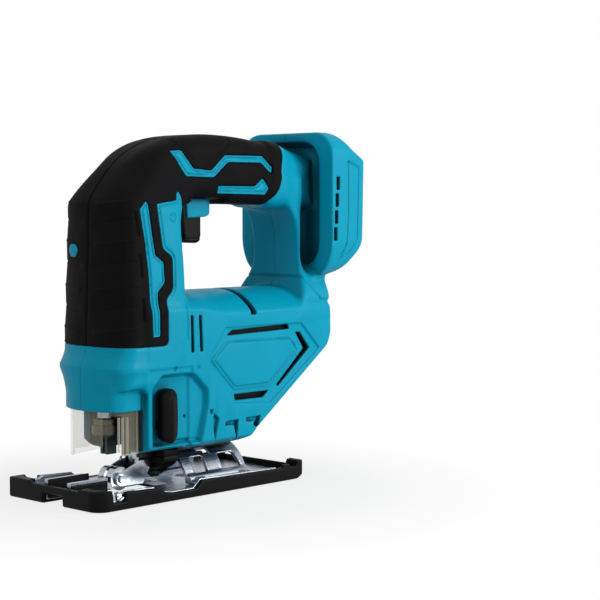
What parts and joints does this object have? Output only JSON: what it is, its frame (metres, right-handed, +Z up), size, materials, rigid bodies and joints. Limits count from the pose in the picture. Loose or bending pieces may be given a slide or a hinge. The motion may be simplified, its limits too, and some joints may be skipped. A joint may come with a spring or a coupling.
{
  "type": "cordless jigsaw",
  "caption": "Cordless jigsaw power tool with a D-shaped top handle, rear battery mount, tilting slotted shoe, dust cover, blade clamp with guide roller and a working orbital drive train.",
  "frame": {"origin": "on the sole of the shoe, at the middle of its width, just behind the blade slot; the shoe's bevel axis passes through it", "axes": "+X to the rear of the tool, +Y to its right, +Z up from the sole; the blade side is -X"},
  "size_m": [0.2078, 0.077, 0.2033],
  "materials": {
    "teal_plastic": "moulded teal shell, fine satin",
    "black_rubber": "matt overmoulded grip",
    "black_plastic": "moulded black",
    "steel": "bright zinc",
    "dark_steel": "dark blued",
    "cast_metal": "dark cast",
    "copper": "drawn copper",
    "bronze": "sintered bronze",
    "board": "lacquered board",
    "clear_plastic": "clear"
  },
  "bodies": {
    "housing": {"housing_left": "teal_plastic", "housing_right": "teal_plastic", "grip_left": "black_rubber", "grip_right": "black_rubber", "housing_screw_1": "dark_steel", "housing_screw_2": "dark_steel", "housing_screw_3": "dark_steel", "housing_screw_4": "dark_steel", "housing_screw_5": "dark_steel", "housing_screw_6": "dark_steel", "housing_screw_7": "dark_steel", "gear_housing": "cast_metal", "lower_bush": "bronze", "upper_bush": "bronze", "front_bearing": "steel", "rear_bearing": "steel", "gear_bearing": "steel", "stator": "dark_steel", "stator_windings": "copper", "controller_board": "board", "capacitor": "black_plastic", "switch_body": "black_plastic", "trigger_spring": "steel", "terminal_block": "black_plastic", "negative_terminal": "copper", "signal_terminal": "copper", "positive_terminal": "copper", "clamp_plate": "steel", "clamp_bolt": "dark_steel", "arm_pivot_pin": "steel"},
    "rotor": {"rotor_core": "dark_steel", "motor_shaft": "steel", "fan": "black_plastic", "pinion": "steel"},
    "crank": {"crank_gear": "steel", "gear_shaft": "steel", "crank_pin_roller": "steel", "counterweight": "dark_steel"},
    "slider": {"slider_rod": "steel", "slider_yoke": "dark_steel", "blade_clamp": "cast_metal"},
    "collar": {"clamp_collar": "dark_steel"},
    "roller_arm": {"roller_bracket": "steel", "roller_pin": "steel"},
    "roller": {"blade_roller": "steel"},
    "selector": {"selector_knob": "black_plastic", "selector_shaft": "steel"},
    "trigger": {"trigger_lever": "black_plastic", "trigger_cap": "teal_plastic"},
    "shoe": {"base_plate": "steel", "shoe_cover": "black_plastic", "base_arch": "steel", "arch_rivet_1": "steel", "arch_rivet_2": "steel", "arch_rivet_3": "steel", "arch_rivet_4": "steel"},
    "dust_cover": {"dust_cover": "clear_plastic"}
  },
  "joints": [
    {"name": "motor_spin", "type": "hinge", "parent": "housing", "child": "rotor", "pos_m": [0, 0, 0.068], "axis": [1, 0, 0], "continuous": true},
    {"name": "gear_spin", "type": "hinge", "parent": "housing", "child": "crank", "pos_m": [0, 0, 0.09567], "axis": [1, 0, 0], "continuous": true},
    {"name": "blade_stroke", "type": "slide", "parent": "housing", "child": "slider", "axis": [0, 0, 1], "range_m": [-0.004, 0.022]},
    {"name": "clamp_release", "type": "hinge", "parent": "slider", "child": "collar", "pos_m": [-0.0408, 0, 0.039], "axis": [0, 0, 1], "range_deg": [0, 60], "stiffness_Nm_per_rad": 0.03, "springref_deg": -8.59},
    {"name": "dust_cover_lift", "type": "slide", "parent": "housing", "child": "dust_cover", "axis": [0, 0, 1], "range_m": [0, 0.014]},
    {"name": "arm_swing", "type": "hinge", "parent": "housing", "child": "roller_arm", "pos_m": [-0.018, 0, 0.025], "axis": [0, 1, 0], "range_deg": [0, 3]},
    {"name": "roller_spin", "type": "hinge", "parent": "roller_arm", "child": "roller", "pos_m": [-0.0356, 0, 0.0097], "axis": [0, 1, 0], "continuous": true},
    {"name": "orbital_select", "type": "hinge", "parent": "housing", "child": "selector", "pos_m": [-0.0213, 0, 0.0395], "axis": [0, 1, 0], "range_deg": [0, 90]},
    {"name": "trigger_pull", "type": "slide", "parent": "housing", "child": "trigger", "axis": [0, 0, 1], "range_m": [0, 0.0055], "stiffness_N_per_m": 800, "springref_m": -0.001, "deforming": ["trigger_spring"]},
    {"name": "shoe_bevel", "type": "hinge", "parent": "housing", "child": "shoe", "pos_m": [0, 0, 0], "axis": [1, 0, 0], "range_deg": [-30, 30]}
  ],
  "couplings": [
    {"joint": "gear_spin", "follows": "motor_spin", "ratio": -0.26087}
  ]
}
